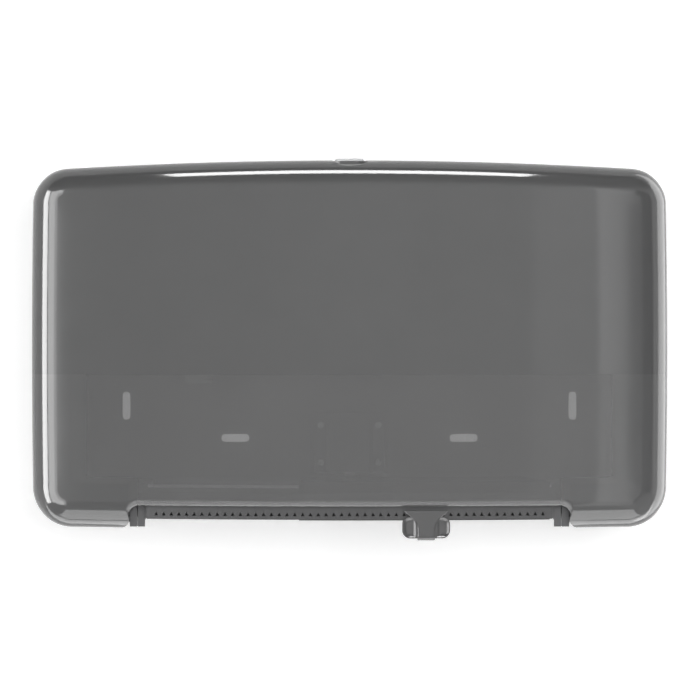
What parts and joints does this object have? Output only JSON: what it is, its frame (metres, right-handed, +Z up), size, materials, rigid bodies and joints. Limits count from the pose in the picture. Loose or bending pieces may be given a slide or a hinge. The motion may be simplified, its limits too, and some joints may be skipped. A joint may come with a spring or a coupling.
{
  "type": "toilet roll dispenser",
  "caption": "Wall-mounted dispenser for two jumbo toilet rolls side by side: hinged smoke cover with a push lock, free-turning hubs, toothed tear bar and a sliding shutter with a finger tab.",
  "frame": {"origin": "middle of the four wall screw slots, on the wall plane", "axes": "+X to the right seen from the front, the wall is y = 0 and the front faces -Y, +Z up"},
  "size_m": [0.49, 0.14, 0.289],
  "materials": {
    "smoke_cover": "glossy smoke grey, see-through below mid height",
    "grey_frame": "satin moulded grey",
    "dark_plastic": "satin dark grey",
    "tab_plastic": "glossy grey",
    "hub_plastic": "satin light grey",
    "clear_button": "glossy white",
    "washer_rubber": "matt black",
    "zinc_steel": "zinc plated"
  },
  "bodies": {
    "chassis": {"back_plate": "grey_frame", "exit_frame": "grey_frame", "exit_frame_screws": "zinc_steel", "tear_bar": "dark_plastic", "tear_bar_screws": "zinc_steel", "left_spindle": "dark_plastic", "right_spindle": "dark_plastic", "spindle_screws": "zinc_steel", "left_brake_washer": "washer_rubber", "right_brake_washer": "washer_rubber", "left_hub_cap": "dark_plastic", "right_hub_cap": "dark_plastic", "hub_cap_screws": "zinc_steel", "centre_bracket": "dark_plastic", "centre_bracket_screws": "zinc_steel", "detent_spring": "zinc_steel", "latch_bracket": "dark_plastic", "latch_bracket_screws": "zinc_steel", "striker_pin": "zinc_steel", "left_hinge_pin": "zinc_steel", "right_hinge_pin": "zinc_steel"},
    "cover": {"front_cover": "smoke_cover", "lock_housing": "dark_plastic", "lock_housing_screws": "zinc_steel", "lever_pin": "zinc_steel"},
    "button": {"lock_button": "clear_button", "button_spring": "zinc_steel"},
    "lever": {"latch_lever": "dark_plastic"},
    "left_roll_hub": {"left_hub": "hub_plastic"},
    "right_roll_hub": {"right_hub": "hub_plastic"},
    "slider": {"shutter": "dark_plastic", "shutter_tab": "tab_plastic", "tab_screw": "zinc_steel"}
  },
  "joints": [
    {"name": "cover_hinge", "type": "hinge", "parent": "chassis", "child": "cover", "pos_m": [0, -0.017, -0.129], "axis": [1, 0, 0], "range_deg": [0, 90]},
    {"name": "lock_button_press", "type": "slide", "parent": "cover", "child": "button", "axis": [0, 0, -1], "range_m": [0, 0.0035], "stiffness_N_per_m": 300, "springref_m": -0.002, "deforming": ["button_spring"]},
    {"name": "latch_lever_pivot", "type": "hinge", "parent": "cover", "child": "lever", "pos_m": [0, -0.098, 0.1212], "axis": [1, 0, 0], "range_deg": [0, 12.6]},
    {"name": "left_hub_spin", "type": "hinge", "parent": "chassis", "child": "left_roll_hub", "pos_m": [-0.1175, -0.0563, 0.018], "axis": [0, 1, 0], "continuous": true},
    {"name": "right_hub_spin", "type": "hinge", "parent": "chassis", "child": "right_roll_hub", "pos_m": [0.1175, -0.0563, 0.018], "axis": [0, 1, 0], "continuous": true},
    {"name": "shutter_slide", "type": "hinge", "parent": "chassis", "child": "slider", "pos_m": [0, 0.76, -0.1], "axis": [0, 0, -1], "range_deg": [0, 7.44]}
  ],
  "couplings": [
    {"joint": "latch_lever_pivot", "follows": "lock_button_press", "rad_per_m": 62.5}
  ]
}
